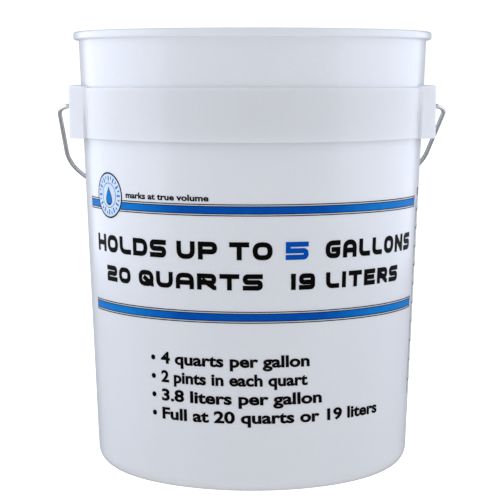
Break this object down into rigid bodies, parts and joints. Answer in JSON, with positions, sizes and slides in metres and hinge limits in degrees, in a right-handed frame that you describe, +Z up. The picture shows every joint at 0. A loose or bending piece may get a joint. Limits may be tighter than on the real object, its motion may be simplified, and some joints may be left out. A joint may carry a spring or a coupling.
{
  "type": "graduated plastic pail with bail handle",
  "caption": "Open white plastic pail with a thick rim, a stiffening skirt, two hollow ears, a swinging steel wire bail and a loose moulded grip.",
  "frame": {"origin": "centre of the underside, level with the standing ring", "axes": "+Z up through the mouth; the two ears face -X and +X; the bail hangs at the rear, on the +Y side"},
  "size_m": [0.3351, 0.3231, 0.3683],
  "materials": {
    "pail_plastic": "natural white polyethylene, satin, slightly translucent",
    "bail_steel": "drawn galvanised wire",
    "grip_plastic": "moulded white plastic, satin",
    "print_blue": "screen-printed ink, satin",
    "print_black": "screen-printed ink, satin"
  },
  "bodies": {
    "bucket": {"bucket_shell": "pail_plastic"},
    "bail": {"bail_wire": "bail_steel"},
    "grip": {"grip": "grip_plastic"}
  },
  "joints": [
    {"name": "bail_swing", "type": "hinge", "parent": "bucket", "child": "bail", "pos_m": [0, 0, 0.306], "axis": [1, 0, 0], "range_deg": [0, 250]},
    {"name": "grip_spin", "type": "hinge", "parent": "bail", "child": "grip", "pos_m": [-0.01235, 0.15564, 0.19702], "axis": [1, 0, 0], "continuous": true}
  ]
}
